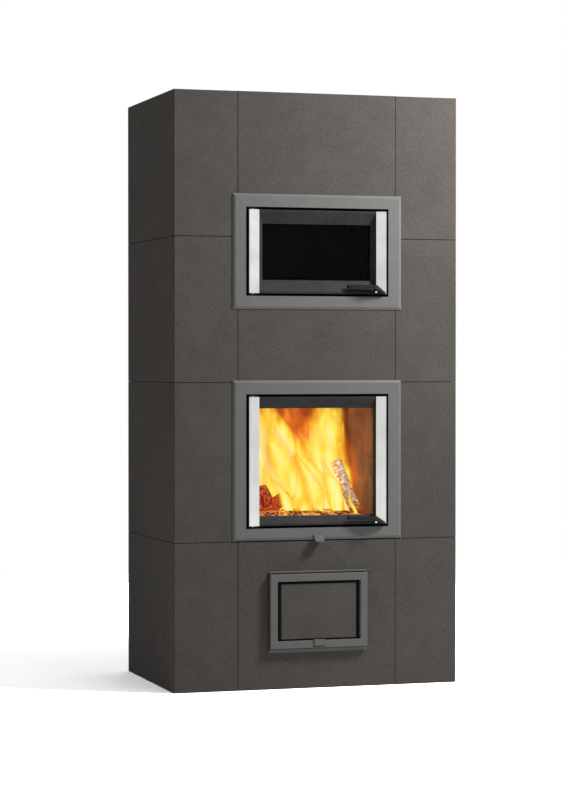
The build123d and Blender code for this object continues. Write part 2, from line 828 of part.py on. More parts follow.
# Air slide: a slotted plate under the grate, its rod and the small hooded knob below the firebox
plate_y = -inner_y + air_plate_set_back
knob_proud = surround_thickness + knob_gap
with BuildPart() as air_slide:
    add_block(-plate_half, plate_half, plate_y, plate_y + air_plate_length,
              air_rod_z, air_rod_z + air_plate_thickness)
    add_block(-air_rod_width / 2, air_rod_width / 2, -half_depth - knob_proud,
              plate_y + air_plate_slot, air_rod_z, air_rod_z + air_rod_thickness)
    with BuildSketch(Plane.XY.offset(air_rod_z)):
        with Locations((0, plate_y + air_plate_length / 2 + air_plate_slot)):
            with GridLocations(1, 2 * air_plate_slot, 1, 4):
                SlotOverall(grate_width - grate_skirt, air_plate_slot)
    extrude(amount=air_plate_thickness, mode=Mode.SUBTRACT)
save(air_slide, "air_slide")

with BuildPart() as air_knob:
    with BuildSketch(Plane.YZ.offset(-knob_width / 2)):
        with BuildLine():
            knob_back = -half_depth - knob_proud
            Polyline(
                (knob_back, knob_top),
                (knob_back - knob_lip, knob_top),
                (knob_back - knob_reach, knob_bottom + knob_lip),
                (knob_back - knob_reach, knob_bottom),
                (knob_back, knob_bottom + knob_lip),
                close=True,
            )
        make_face()
    extrude(amount=knob_width)
    with BuildSketch(Plane.YZ.offset(-knob_width / 2 + knob_wall)):
        with BuildLine():
            Polyline(
                (knob_back - knob_wall, air_rod_z - 2 * knob_lip),
                (knob_back - knob_reach + knob_wall, knob_bottom),
                (knob_back - knob_wall, knob_bottom),
                close=True,
            )
        make_face()
    extrude(amount=knob_width - 2 * knob_wall, mode=Mode.SUBTRACT)
save(air_knob, "air_knob")

# Ash hatch: a lip frame on the stone and a flap hung at its top edge, with a finger latch
lip_low = hatch_bottom - hatch_lip_margin_bottom
lip_high = hatch_top + hatch_lip_margin_top
opening_middle = ash_opening_bottom + ash_opening_height / 2
hatch_middle = hatch_bottom + hatch_height / 2
ear_x = hatch_half - ear_inset
with BuildPart() as hatch_lip_frame:
    with BuildSketch(face(0)):
        with Locations((0, (lip_low + lip_high) / 2)):
            Rectangle(hatch_width, lip_high - lip_low)
        with Locations((0, opening_middle)):
            Rectangle(ash_opening_width, ash_opening_height, mode=Mode.SUBTRACT)
    extrude(amount=hatch_lip)
    chamfer(hatch_lip_frame.faces().sort_by(Axis.Y)[0].outer_wire().edges(), length=hatch_edge)
    for side in (-1, 1):
        with BuildSketch(Plane.YZ.offset(side * ear_x - ear_width / 2)):
            with Locations((-half_depth - pin_out, pin_z)):
                Circle(ear_radius)
            with Locations((-half_depth - (pin_out + hatch_lip) / 2, pin_z)):
                Rectangle(pin_out - hatch_lip, 2 * ear_radius)
        extrude(amount=ear_width)
        with BuildSketch(Plane.YZ.offset(side * ear_x - ear_width / 2)):
            with Locations((-half_depth - pin_out, pin_z)):
                Circle(hatch_pin_radius + seat_clearance)
        extrude(amount=ear_width, mode=Mode.SUBTRACT)
save(hatch_lip_frame, "hatch_lip_frame")

with BuildPart() as hatch_pins:
    for side in (-1, 1):
        with BuildSketch(Plane.YZ.offset(side * ear_x - hatch_pin_length / 2)):
            with Locations((-half_depth - pin_out, pin_z)):
                Circle(hatch_pin_radius)
        extrude(amount=hatch_pin_length)
save(hatch_pins, "hatch_pins")

notch_half = latch_width / 2 + latch_side_gap
notch_low = hatch_bottom + latch_foot - latch_foot_gap
latch_y = -half_depth - hatch_front + latch_depth / 2
latch_pin_z = hatch_bottom + latch_foot + latch_pin_rise
latch_pin_length = 2 * (notch_half + latch_pin_seat)
with BuildPart() as hatch_frame:
    with BuildSketch(face(hatch_back)):
        with Locations((0, hatch_middle)):
            Rectangle(hatch_width, hatch_height)
            Rectangle(hatch_width - 2 * hatch_bar, hatch_height - 2 * hatch_bar,
                      mode=Mode.SUBTRACT)
    extrude(amount=hatch_thickness)
    chamfer(hatch_frame.faces().sort_by(Axis.Y)[0].edges(), length=hatch_edge)
    rear = hatch_frame.faces().sort_by(Axis.Y)[-1].outer_wire().edges().sort_by(Axis.Z)[-1]
    chamfer(rear, length=hatch_back_chamfer)
    for side in (-1, 1):
        add_block(side * ear_x - ear_width / 2 - ear_fit, side * ear_x + ear_width / 2 + ear_fit,
                  -half_depth - hatch_front + ear_skin, -half_depth - hatch_back,
                  pin_z - ear_radius - ear_drop, hatch_top, mode=Mode.SUBTRACT)
        with BuildSketch(Plane.YZ.offset(side * ear_x - hatch_pin_length / 2)):
            with Locations((-half_depth - pin_out, pin_z)):
                Circle(hatch_pin_radius + running_clearance)
        extrude(amount=hatch_pin_length, mode=Mode.SUBTRACT)
    add_block(-notch_half, notch_half, -half_depth - hatch_front, -half_depth - hatch_back,
              notch_low, hatch_bottom + hatch_bar, mode=Mode.SUBTRACT)
    with BuildSketch(Plane.YZ.offset(-latch_pin_length / 2)):
        with Locations((latch_y, latch_pin_z)):
            Circle(latch_pin_radius + seat_clearance)
    extrude(amount=latch_pin_length, mode=Mode.SUBTRACT)
save(hatch_frame, "hatch_frame")

tray_half = ash_opening_width / 2 - tray_gap_side
tray_low = ash_opening_bottom + tray_gap_bottom
tray_high = ash_opening_bottom + ash_opening_height - tray_gap_top
with BuildPart() as hatch_tray:
    add_block(-tray_half, tray_half, -half_depth - hatch_back, -half_depth, tray_low, tray_high)
    add_block(-tray_half + tray_wall, tray_half - tray_wall, -half_depth - hatch_back,
              -half_depth - tray_wall, tray_low + tray_wall, tray_high - tray_wall,
              mode=Mode.SUBTRACT)
save(hatch_tray, "hatch_tray")

with BuildPart() as hatch_stone:
    insert_low = hatch_bottom + hatch_bar + insert_rise
    insert_half = hatch_half - insert_side_gap
    add_block(-insert_half, insert_half, -half_depth - tray_wall - insert_thickness,
              -half_depth - tray_wall, insert_low, insert_low + insert_height)
    chamfer(hatch_stone.faces().sort_by(Axis.Y)[0].edges(), length=stone_arris)
save(hatch_stone, "hatch_stone")

with BuildPart() as hatch_latch:
    latch_low = hatch_bottom + latch_foot
    add_block(-latch_width / 2, latch_width / 2, -half_depth - hatch_front - latch_front,
              -half_depth - hatch_front + latch_depth, latch_low, latch_low + latch_height)
    add_block(-latch_width / 2 + latch_front, latch_width / 2 - latch_front,
              -half_depth - hatch_front, -half_depth - hatch_front + latch_hollow,
              latch_low + latch_height - latch_hollow, latch_low + latch_height,
              mode=Mode.SUBTRACT)
    tongue_low = ash_opening_bottom + hatch_edge
    add_block(-latch_hollow, latch_hollow, -half_depth - hatch_front + latch_depth,
              -half_depth - hatch_lip + latch_tongue_reach, tongue_low,
              tongue_low + latch_tongue)
    with BuildSketch(Plane.YZ.offset(-latch_pin_length / 2)):
        with Locations((latch_y, latch_pin_z)):
            Circle(latch_pin_radius + running_clearance)
    extrude(amount=latch_pin_length, mode=Mode.SUBTRACT)
save(hatch_latch, "hatch_latch")

with BuildPart() as latch_pin:
    with BuildSketch(Plane.YZ.offset(-latch_pin_length / 2)):
        with Locations((latch_y, latch_pin_z)):
            Circle(latch_pin_radius)
    extrude(amount=latch_pin_length)
save(latch_pin, "latch_pin")

# Ash pan, which slides out through the hatch on the chamber floor
pan_low = ash_opening_bottom + slide_gap
pan_front_y = -half_depth + pan_set_back
pan_half = ash_opening_width / 2 - pan_side_gap
with BuildPart() as ash_pan:
    add_block(-pan_half, pan_half, pan_front_y, pan_front_y + pan_length,
              pan_low, pan_low + pan_height)
    add_block(-pan_half + pan_wall, pan_half - pan_wall, pan_front_y + pan_wall,
              pan_front_y + pan_length - pan_wall, pan_low + pan_wall, pan_low + pan_height,
              mode=Mode.SUBTRACT)
    grip_z = pan_low + pan_height / 2
    add_block(-pan_grip_width / 2, pan_grip_width / 2, pan_front_y - pan_grip_reach,
              pan_front_y, grip_z, grip_z + pan_wall)
    add_block(-pan_grip_width / 2, pan_grip_width / 2, pan_front_y - pan_grip_reach,
              pan_front_y - pan_grip_reach + pan_wall, grip_z - pan_grip_height, grip_z)
save(ash_pan, "ash_pan")
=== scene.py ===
import math
import random

import bmesh
import bpy
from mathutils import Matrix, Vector, noise


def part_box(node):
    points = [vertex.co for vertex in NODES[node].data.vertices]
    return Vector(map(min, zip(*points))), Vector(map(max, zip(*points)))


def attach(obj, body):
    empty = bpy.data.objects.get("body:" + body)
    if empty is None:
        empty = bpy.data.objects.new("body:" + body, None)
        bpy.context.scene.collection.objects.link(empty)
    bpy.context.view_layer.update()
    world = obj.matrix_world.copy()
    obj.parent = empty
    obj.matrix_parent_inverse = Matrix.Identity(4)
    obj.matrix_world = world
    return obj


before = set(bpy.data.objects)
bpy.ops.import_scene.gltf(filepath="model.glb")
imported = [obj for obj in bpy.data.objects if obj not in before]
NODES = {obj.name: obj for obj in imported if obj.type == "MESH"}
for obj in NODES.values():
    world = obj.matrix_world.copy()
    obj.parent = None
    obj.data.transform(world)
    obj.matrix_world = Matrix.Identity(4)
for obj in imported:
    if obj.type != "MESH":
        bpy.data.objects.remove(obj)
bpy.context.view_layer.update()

# The casing's front face, its upright joints left and right of the middle, and its level joints
FRONT_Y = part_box("front_stones_left")[0][1]
BAY_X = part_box("front_stone_top")[1][0]
ROW_JOINTS = (0.473, 0.9785, 1.4395)

# Painted shade and grime darken the stone this far from a joint, and have faded out this far from
# it
SHADE_AND_GRIME_FULL, SHADE_AND_GRIME_END = 0.0006, 0.0021
SHADE_AND_GRIME_DARKNESS = 0.75

# How far in front of the stone the latches' shafts turn bright, and how far above and below the
# shut hatch the lip around it carries a painted shadow of the gap
BRIGHT_SHAFT = 0.017
GAP_SHADOW_REACH = 0.0032

# Scales that draw noise out into brush lines, left to right or up and down
BRUSHED_ACROSS = (0.05, 1.0, 1.0)
BRUSHED_UPRIGHT = (1.0, 1.0, 0.01)

WHITE = (1.0, 1.0, 1.0, 1.0)
ACROSS_AND_UP = "across_and_up"


def srgb(r, g, b):
    """A colour written as it should look on screen, from 0 to 255, as linear light."""
    def linear(v):
        v /= 255.0
        return v / 12.92 if v <= 0.04045 else ((v + 0.055) / 1.055) ** 2.4
    return (linear(r), linear(g), linear(b), 1.0)


def scaled(colour, factor):
    """The same colour, lighter or darker."""
    return tuple(channel * factor for channel in colour[:3]) + (1.0,)


class Shader:
    """A material whose nodes are added one call at a time."""

    # The mix node's colour sockets, which share their names with its other sockets
    MIX_COLOUR_A = 6
    MIX_COLOUR_B = 7
    MIX_COLOUR_RESULT = 2

    def __init__(self, name):
        self.material = bpy.data.materials.new(name)
        self.material.use_nodes = True
        self.tree = self.material.node_tree
        self.tree.nodes.clear()
        self.output = self.add("ShaderNodeOutputMaterial")

    def add(self, kind, inputs=None, **settings):
        node = self.tree.nodes.new(kind)
        for key, value in settings.items():
            setattr(node, key, value)
        for key, value in (inputs or {}).items():
            self.put(node.inputs[key], value)
        return node

    def put(self, socket, value):
        if isinstance(value, bpy.types.NodeSocket):
            self.tree.links.new(value, socket)
        else:
            socket.default_value = value

    def place(self, scale=(1.0, 1.0, 1.0), turn=(0.0, 0.0, 0.0)):
        """The frame's own coordinates in metres, scaled or turned."""
        coordinates = self.add("ShaderNodeTexCoord")
        mapping = self.add("ShaderNodeMapping", {"Vector": coordinates.outputs["Object"]})
        mapping.inputs["Scale"].default_value = scale
        mapping.inputs["Rotation"].default_value = turn
        return mapping.outputs["Vector"]

    def noise(self, vector, scale, detail=4.0, roughness=0.55, distortion=0.0):
        node = self.add("ShaderNodeTexNoise", {
            "Vector": vector, "Scale": scale, "Detail": detail,
            "Roughness": roughness, "Distortion": distortion})
        return node.outputs["Fac"]

    def ramp(self, value, stops):
        """Colours at their places from 0 to 1, blended between."""
        node = self.add("ShaderNodeValToRGB", {"Fac": value})
        elements = node.color_ramp.elements
        while len(elements) < len(stops):
            elements.new(0.5)
        for element, (position, colour) in zip(elements, stops):
            element.position = position
            element.color = colour
        return node.outputs["Color"]

    def math(self, operation, *values):
        node = self.add("ShaderNodeMath", operation=operation)
        for socket, value in zip(node.inputs, values):
            self.put(socket, value)
        return node.outputs[0]

    def remap(self, value, low, high, to_low=0.0, to_high=1.0):
        """The value's way from low to high, as a way from to_low to to_high."""
        node = self.add("ShaderNodeMapRange", {
            "Value": value, "From Min": low, "From Max": high,
            "To Min": to_low, "To Max": to_high})
        return node.outputs["Result"]

    def mix(self, factor, a, b):
        """Colour a where the factor is 0, colour b where it is 1."""
        node = self.add("ShaderNodeMix", data_type="RGBA")
        self.put(node.inputs["Factor"], factor)
        self.put(node.inputs[self.MIX_COLOUR_A], a)
        self.put(node.inputs[self.MIX_COLOUR_B], b)
        return node.outputs[self.MIX_COLOUR_RESULT]

    def bump(self, height, strength, distance):
        node = self.add("ShaderNodeBump", {
            "Height": height, "Strength": strength, "Distance": distance})
        return node.outputs["Normal"]

    def finish(self, **inputs):
        """The principled surface; an input's name has underscores for its spaces."""
        surface = self.add("ShaderNodeBsdfPrincipled")
        for key, value in inputs.items():
            self.put(surface.inputs[key.replace("_", " ")], value)
        self.put(self.output.inputs["Surface"], surface.outputs["BSDF"])
        return self.material


def joint_shade_and_grime(s, here):
    """How much painted shade and grime darken the casing at a place: most at its joints, none 2 mm
    off them.
    """
    place = s.add("ShaderNodeSeparateXYZ", {"Vector": here})
    off_bay = s.math("ABSOLUTE", s.math("SUBTRACT", s.math("ABSOLUTE", place.outputs["X"]), BAY_X))
    off_front = s.math("ABSOLUTE", s.math("SUBTRACT", place.outputs["Y"], FRONT_Y))
    nearest = s.math("ADD", off_bay, off_front)
    for row in ROW_JOINTS:
        off_row = s.math("ABSOLUTE", s.math("SUBTRACT", place.outputs["Z"], row))
        nearest = s.math("MINIMUM", nearest, off_row)
    return s.remap(nearest, SHADE_AND_GRIME_FULL, SHADE_AND_GRIME_END, SHADE_AND_GRIME_DARKNESS, 0.0)


def soapstone(name, dark, light, fleck, jointed=False):
    """Dark stone with faint clouds, a tight grain and pale talc flecks; with painted shade and
    grime at the joints where jointed.
    """
    s = Shader(name)
    here = s.place()
    clouds = s.noise(here, scale=2.3, detail=5.0, roughness=0.6, distortion=0.4)
    patches = s.noise(here, scale=14.0, detail=4.0, roughness=0.6)
    grain = s.noise(here, scale=420.0, detail=3.0, roughness=0.7)
    coarse = s.noise(here, scale=150.0, detail=3.0, roughness=0.6)
    tone = s.math("MULTIPLY", clouds, 0.16)
    for part, share in ((patches, 0.14), (grain, 0.35), (coarse, 0.35)):
        tone = s.math("ADD", tone, s.math("MULTIPLY", part, share))
    base = s.mix(s.remap(tone, 0.4, 0.6), dark, light)
    cells = s.add("ShaderNodeTexVoronoi", {"Vector": here, "Scale": 260.0})
    pale = s.remap(cells.outputs["Distance"], 0.06, 0.2, 0.5, 0.0)
    spread = s.remap(s.noise(here, scale=35.0, detail=2.0), 0.5, 0.62)
    base = s.mix(s.math("MULTIPLY", pale, spread), base, fleck)
    height = s.math("ADD", s.math("MULTIPLY", grain, 0.6), s.math("MULTIPLY", coarse, 0.4))
    if jointed:
        # Near the joints the stone turns near-black: painted shade of the joint gaps, with some
        # grime
        base = s.mix(joint_shade_and_grime(s, here), base, srgb(30, 28, 26))
    return s.finish(
        Base_Color=base,
        Roughness=s.remap(coarse, 0.3, 0.7, 0.78, 0.96),
        Specular_IOR_Level=0.06,
        Normal=s.bump(height, 0.35, 0.0006),
    )


def paint_skin(s, here):
    """The mottling and the orange peel of heat-proof paint."""
    return (s.noise(here, scale=30.0, detail=4.0, roughness=0.6),
            s.noise(here, scale=900.0, detail=2.0, roughness=0.5))


def painted_steel(name, colour, roughness, speckle):
    """Satin heat-proof paint on plate, speckled lighter and darker."""
    s = Shader(name)
    mottle, peel = paint_skin(s, s.place())
    lighter = scaled(colour, 1.0 + 2.0 * speckle)
    darker = scaled(colour, 1.0 - 2.0 * speckle)
    shade = s.math("ADD", s.math("MULTIPLY", mottle, 0.5), s.math("MULTIPLY", peel, 0.5))
    return s.finish(
        Base_Color=s.mix(s.remap(shade, 0.35, 0.65), darker, lighter),
        Roughness=s.remap(mottle, 0.3, 0.7, roughness - 0.06, roughness + 0.08),
        Specular_IOR_Level=0.15,
        Normal=s.bump(peel, 0.12, 0.0003),
    )


def cast_iron(name, colour, roughness):
    """Matt black cast or pressed iron with a fine sandy skin."""
    s = Shader(name)
    here = s.place()
    sand = s.noise(here, scale=650.0, detail=3.0, roughness=0.65)
    stain = s.noise(here, scale=22.0, detail=4.0, roughness=0.6)
    stained = s.remap(stain, 0.3, 0.7)
    return s.finish(
        Base_Color=s.mix(stained, scaled(colour, 0.75), scaled(colour, 1.35)),
        Roughness=s.remap(sand, 0.3, 0.7, roughness - 0.1, roughness + 0.1),
        Specular_IOR_Level=0.12,
        Normal=s.bump(sand, 0.25, 0.0004),
    )


def brushed_steel(name, colour, roughness, along, depth=0.06):
    """Metal with fine brush lines; along is the scale that draws them out."""
    s = Shader(name)
    lines = s.noise(s.place(scale=along), scale=900.0, detail=3.0, roughness=0.6)
    smudge = s.noise(s.place(), scale=18.0, detail=3.0, roughness=0.5)
    brushed = s.remap(lines, 0.3, 0.7)
    return s.finish(
        Base_Color=s.mix(brushed, scaled(colour, 0.92), scaled(colour, 1.06)),
        Metallic=1.0,
        Roughness=s.remap(smudge, 0.3, 0.7, roughness - 0.04, roughness + 0.06),
        Normal=s.bump(lines, depth, 0.0002),
    )


def latch_metal(name, bright, dull, change_y):
    """Polished in front of change_y, and blackened by heat behind it."""
    s = Shader(name)
    here = s.place()
    y = s.add("ShaderNodeSeparateXYZ", {"Vector": here}).outputs["Y"]
    behind = s.remap(y, change_y - 0.0002, change_y + 0.0002)
    marks = s.noise(here, scale=500.0, detail=3.0, roughness=0.6)
    return s.finish(
        Base_Color=s.mix(behind, bright, dull),
        Metallic=s.remap(behind, 0.0, 1.0, 1.0, 0.2),
        Roughness=s.remap(s.math("ADD", marks, behind), 0.3, 1.7, 0.15, 0.7),
        Normal=s.bump(marks, 0.05, 0.0002),
    )


def shadowed_lip(name, paint, soot):
    """Grey paint with a painted shadow line along the gap where the shut hatch's seal presses on
    it.
    """
    s = Shader(name)
    here = s.place()
    place = s.add("ShaderNodeSeparateXYZ", {"Vector": here})
    bottom, top = (corner[2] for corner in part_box("hatch_frame"))
    above = s.math("SUBTRACT", place.outputs["Z"], top)
    below = s.math("SUBTRACT", bottom, place.outputs["Z"])
    outside = s.math("MAXIMUM", above, below)
    # Within this reach of the hatch the paint gives way to the soot colour, which is a painted
    # shadow of the gap
    outside_gap_shadow = s.remap(outside, GAP_SHADOW_REACH - 0.0006, GAP_SHADOW_REACH + 0.0006)
    mottle, peel = paint_skin(s, here)
    worn = s.mix(s.remap(mottle, 0.35, 0.65), paint, scaled(paint, 1.12))
    return s.finish(
        Base_Color=s.mix(outside_gap_shadow, soot, worn),
        Roughness=s.remap(mottle, 0.3, 0.7, 0.45, 0.6),
        Specular_IOR_Level=0.15,
        Normal=s.bump(peel, 0.12, 0.0003),
    )


def woven_rope(name):
    """Knitted glass-fibre rope."""
    s = Shader(name)
    here = s.place()
    first = s.add("ShaderNodeTexWave", {"Vector": here, "Scale": 180.0, "Distortion": 1.5},
                  bands_direction="DIAGONAL")
    second = s.noise(here, scale=800.0, detail=3.0, roughness=0.7)
    weave = s.math("MULTIPLY", first.outputs["Fac"], second)
    return s.finish(
        Base_Color=s.ramp(weave, [(0.1, srgb(70, 68, 64)), (0.6, srgb(150, 147, 140))]),
        Roughness=0.95,
        Normal=s.bump(weave, 0.6, 0.0012),
    )


def firebrick(name):
    """Fired clay lining, darkened by soot in clouds and pitted."""
    s = Shader(name)
    here = s.place()
    soot = s.noise(here, scale=7.0, detail=5.0, roughness=0.6, distortion=0.6)
    pits = s.noise(here, scale=260.0, detail=3.0, roughness=0.7)
    clay = s.mix(pits, srgb(150, 96, 66), srgb(186, 132, 98))
    sooty = s.mix(s.remap(soot, 0.4, 0.68, 0.0, 0.8), clay, srgb(48, 34, 28))
    return s.finish(
        Base_Color=sooty,
        Roughness=0.9,
        Normal=s.bump(pits, 0.5, 0.0015),
    )


def stove_glass(name, tint):
    """Ceramic stove glass: faintly tinted and low in reflection, with a light haze."""
    s = Shader(name)
    haze = s.noise(s.place(), scale=9.0, detail=3.0, roughness=0.6)
    return s.finish(
        Base_Color=s.mix(haze, tint, scaled(tint, 0.9)),
        Roughness=s.remap(haze, 0.3, 0.7, 0.02, 0.04),
        Transmission_Weight=1.0,
        IOR=1.12,
    )


def dress(material, *names):
    """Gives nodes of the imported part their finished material."""
    for name in names:
        slots = NODES[name].data.materials
        slots.clear()
        slots.append(material)


casing = soapstone("soapstone_casing", srgb(72, 68, 65), srgb(92, 88, 84), srgb(124, 119, 112),
                   jointed=True)
inner_stone = soapstone("soapstone_core", srgb(66, 63, 59), srgb(92, 88, 83), srgb(116, 112, 106))
insert_stone = soapstone("soapstone_insert", srgb(74, 70, 67), srgb(92, 88, 84),
                         srgb(112, 108, 102))
plate_paint = painted_steel("surround_paint", srgb(106, 106, 105), 0.5, 0.03)
hatch_paint = painted_steel("hatch_paint", srgb(98, 98, 96), 0.5, 0.04)
frame_iron = cast_iron("frame_iron", srgb(20, 20, 20), 0.75)
leaf_iron = cast_iron("leaf_iron", srgb(42, 42, 43), 0.6)
handle_iron = cast_iron("handle_iron", srgb(36, 36, 36), 0.55)
strip_steel = brushed_steel("strip_steel", srgb(196, 196, 195), 0.3, BRUSHED_UPRIGHT, 0.02)
bolt_steel = brushed_steel("bolt_steel", srgb(176, 176, 174), 0.35, BRUSHED_ACROSS)
pan_steel = brushed_steel("pan_steel", srgb(140, 141, 142), 0.45, BRUSHED_ACROSS, 0.1)
rope_fibre = woven_rope("rope_fibre")
latch_steel = latch_metal("latch_steel", srgb(206, 206, 205), srgb(30, 30, 30),
                          FRONT_Y - BRIGHT_SHAFT)
# The lip's near-black line above and below the hatch is a painted shadow of the gap
lip_paint = shadowed_lip("hatch_lip_paint", srgb(98, 98, 96), srgb(10, 10, 10))
lining = firebrick("firebrick_lining")
oven_glass = stove_glass("oven_glass_tint", srgb(120, 124, 122))
fire_glass = stove_glass("firebox_glass_tint", srgb(250, 248, 244))

dress(casing, "front_stones_left", "front_stones_right", "side_stones_left", "side_stones_right",
      "back_stones", "front_stone_top", "front_stone_middle", "front_stone_base", "top_slab")
dress(inner_stone, "foundation_slab", "ash_chamber_floor", "ash_chamber_walls", "core_deck",
      "core_walls", "oven_floor", "oven_walls", "oven_ceiling", "channel_partitions",
      "top_piers", "flue_shaft_walls")
dress(insert_stone, "hatch_stone")
dress(lining, "hearth_bed", "hearth_stones", "firebox_side_liners", "firebox_back_liner",
      "smoke_baffle")
dress(plate_paint, "firebox_surround", "oven_surround")
dress(lip_paint, "hatch_lip_frame")
dress(hatch_paint, "hatch_frame", "hatch_latch", "air_knob")
dress(frame_iron, "firebox_frame", "oven_frame", "door_hinge_plates", "hatch_tray", "grate")
dress(leaf_iron, "firebox_leaf", "oven_leaf")
dress(handle_iron, "firebox_handle", "oven_handle")
dress(strip_steel, "firebox_strips", "oven_strips")
dress(latch_steel, "firebox_latch", "oven_latch")
dress(bolt_steel, "surround_studs", "door_hinge_pins", "hatch_pins", "latch_pin",
      "firebox_glass_retainer", "oven_glass_retainer", "flue_collar")
dress(pan_steel, "ash_pan", "air_slide")
dress(rope_fibre, "firebox_rope", "oven_rope", "firebox_glass_gasket", "oven_glass_gasket")
dress(oven_glass, "oven_glass")
dress(fire_glass, "firebox_glass")


# Camera, solved from the stone joints: an unshifted long lens, left of the stove at chest height
SENSOR_MM = 36.0
LENS_MM = 110.47
CAMERA_PLACE = (-2.4551, -7.752, 1.0429)
CAMERA_BELOW_LEVEL = math.radians(0.884)
CAMERA_TO_THE_RIGHT = math.radians(17.429)

camera_data = bpy.data.cameras.new("camera")
camera_data.sensor_width = SENSOR_MM
camera_data.lens = LENS_MM
camera = bpy.data.objects.new("camera", camera_data)
camera.location = CAMERA_PLACE
camera.rotation_euler = (math.radians(90.0) - CAMERA_BELOW_LEVEL, 0.0, -CAMERA_TO_THE_RIGHT)
bpy.context.scene.collection.objects.link(camera)
bpy.context.scene.camera = camera


def area_light(name, location, target, size, power, colour=(1.0, 1.0, 1.0)):
    """A rectangular lamp of so many watts, aimed at a point."""
    data = bpy.data.lights.new(name, "AREA")
    data.shape = "RECTANGLE"
    data.size, data.size_y = size
    data.energy = power
    data.color = colour
    light = bpy.data.objects.new(name, data)
    light.location = location
    light.rotation_euler = (Vector(target) - Vector(location)).to_track_quat("-Z", "Y").to_euler()
    bpy.context.scene.collection.objects.link(light)
    return light


# The key hangs close by at the upper right, so the front grows darker to the left and downwards
area_light("key", location=(1.5, -1.3, 2.4), target=(0.2, -0.3, 1.2), size=(0.5, 0.5), power=80.0)
area_light("fill", location=(1.0, -3.6, 3.4), target=(0.0, -0.3, 0.6), size=(1.4, 1.4), power=8.0)
area_light("back", location=(1.0, 3.4, 0.55), target=(0.0, 0.3, 0.95), size=(1.4, 0.8), power=22.0)

# The strength of the world where it lights a surface
AMBIENT = 0.25

# The floor's tone where it lights a surface, and what is added where it is seen or mirrored
FLOOR_TONE = 0.75
FLOOR_SEEN = 3.0
FLOOR_MIRRORED = 2.0
FLOOR_REACH = 4.0


def studio_world():
    """White wherever the camera, a reflection or glass looks; a lower light level otherwise."""
    world = bpy.data.worlds.new("studio")
    world.use_nodes = True
    tree = world.node_tree
    background = tree.nodes["Background"]
    background.inputs["Color"].default_value = WHITE
    paths = tree.nodes.new("ShaderNodeLightPath")
    seen = paths.outputs["Is Camera Ray"]
    for name in ("Is Glossy Ray", "Is Transmission Ray"):
        either = tree.nodes.new("ShaderNodeMath")
        either.operation = "MAXIMUM"
        tree.links.new(seen, either.inputs[0])
        tree.links.new(paths.outputs[name], either.inputs[1])
        seen = either.outputs[0]
    level = tree.nodes.new("ShaderNodeMapRange")
    level.inputs["To Min"].default_value = AMBIENT
    level.inputs["To Max"].default_value = 1.0
    tree.links.new(seen, level.inputs["Value"])
    tree.links.new(level.outputs["Result"], background.inputs["Strength"])
    bpy.context.scene.world = world


studio_world()
bpy.context.scene.view_settings.view_transform = "Standard"


def floor():
    """A wide pale floor: the camera sees it bright enough to be white, but for the shadow."""
    mesh = bpy.data.meshes.new("floor")
    corners = [(x * FLOOR_REACH, y * FLOOR_REACH, 0.0)
               for x, y in ((-1, -1), (1, -1), (1, 1), (-1, 1))]
    mesh.from_pydata(corners, [], [(0, 1, 2, 3)])
    plane = bpy.data.objects.new("floor", mesh)
    bpy.context.scene.collection.objects.link(plane)
    s = Shader("floor_white")
    paths = s.add("ShaderNodeLightPath")
    seen = s.math("MAXIMUM", paths.outputs["Is Camera Ray"], paths.outputs["Is Transmission Ray"])
    tone = s.math("MULTIPLY_ADD", seen, FLOOR_SEEN, FLOOR_TONE)
    tone = s.math("MULTIPLY_ADD", paths.outputs["Is Glossy Ray"], FLOOR_MIRRORED, tone)
    diffuse = s.add("ShaderNodeBsdfDiffuse", {"Color": tone})
    s.put(s.output.inputs["Surface"], diffuse.outputs[0])
    mesh.materials.append(s.material)


floor()


# The fire: split birch on a bed of embers, with sheets of flame standing among the logs
FIRE_SEED = 7
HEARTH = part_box("hearth_stones")[1][2]

# Flames stay between the side liners and in front of the back liner
FLAME_REACH_X = 0.204
FLAME_BACK_Y = 0.05
FLAME_COLUMNS, FLAME_ROWS = 10, 36

# A split log's flat face: its turn about the log, and its distance from the middle in radii
SPLIT_TURN, SPLIT_DEPTH = 0.6, 0.35
LOG_SIDES, LOG_RINGS = 28, 26

# How far up and down the edge of the charred bark wanders
CHAR_RAGGED = 0.06

# The heap of embers: its spread, and how far over the hearth its border and the foot below it are
EMBER_REACH_X, EMBER_FRONT_Y, EMBER_BACK_Y = 0.19, -0.215, 0.02
EMBER_BORDER, EMBER_FOOT = 0.0006, 0.0002
EMBER_COLUMNS, EMBER_ROWS = 70, 50


def mesh_piece(name, bm, material):
    """Links a finished bmesh as a smooth piece that rides on the stove's body."""
    mesh = bpy.data.meshes.new(name)
    bm.to_mesh(mesh)
    bm.free()
    mesh.polygons.foreach_set("use_smooth", [True] * len(mesh.polygons))
    mesh.materials.append(material)
    piece = bpy.data.objects.new(name, mesh)
    bpy.context.scene.collection.objects.link(piece)
    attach(piece, "root")


def quads(bm, grid, layer=None):
    """Faces between the rows of a grid of vertices; a UV layer gets 0 to 1 across and up it."""
    rows, columns = len(grid) - 1, len(grid[0]) - 1
    for row in range(rows):
        for column in range(columns):
            corners = [(row, column), (row, column + 1), (row + 1, column + 1), (row + 1, column)]
            face = bm.faces.new([grid[r][c] for r, c in corners])
            if layer is not None:
                for loop, (r, c) in zip(face.loops, corners):
                    loop[layer].uv = (c / columns, r / rows)


